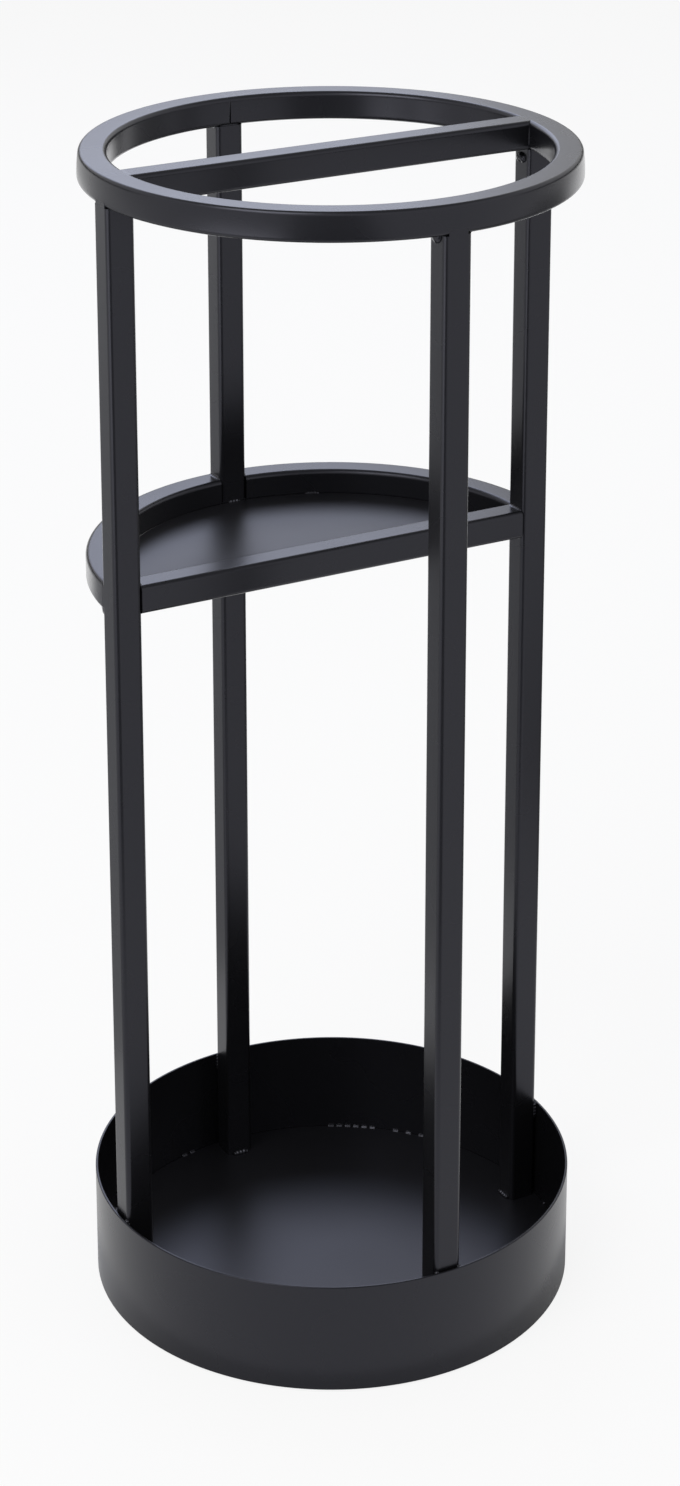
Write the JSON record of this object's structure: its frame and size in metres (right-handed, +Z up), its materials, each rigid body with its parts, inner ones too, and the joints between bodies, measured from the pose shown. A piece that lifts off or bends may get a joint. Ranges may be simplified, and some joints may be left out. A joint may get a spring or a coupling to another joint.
{
  "type": "umbrella stand",
  "caption": "Round open-frame umbrella stand in black steel: drip pan, square-tube posts, top ring with a crossbar, and a half-moon shelf for short umbrellas.",
  "frame": {"origin": "on the ground, below the middle of the round pan", "axes": "+Z up; the crossbar and the shelf's front bar run along X; the half-moon shelf is on the +Y side"},
  "size_m": [0.204, 0.204, 0.5],
  "materials": {
    "powder_coat": "satin black powder coat",
    "coated_weld": "weld bead under the same powder coat",
    "pad_rubber": "matt"
  },
  "bodies": {
    "root": {"base_wall": "powder_coat", "base_floor": "powder_coat", "foot_pads": "pad_rubber", "post_left": "powder_coat", "post_right": "powder_coat", "post_front": "powder_coat", "post_back": "powder_coat", "top_ring": "powder_coat", "ring_seam_weld": "coated_weld", "top_crossbar": "powder_coat", "crossbar_welds": "coated_weld", "shelf_rim_left": "powder_coat", "shelf_rim_right": "powder_coat", "shelf_front_bar": "powder_coat", "shelf_plate": "powder_coat", "post_top_welds": "coated_weld", "post_foot_welds": "coated_weld", "post_wall_welds": "coated_weld", "floor_tack_welds": "coated_weld", "shelf_rim_welds": "coated_weld", "shelf_bar_welds": "coated_weld", "shelf_plate_welds": "coated_weld"}
  },
  "joints": []
}
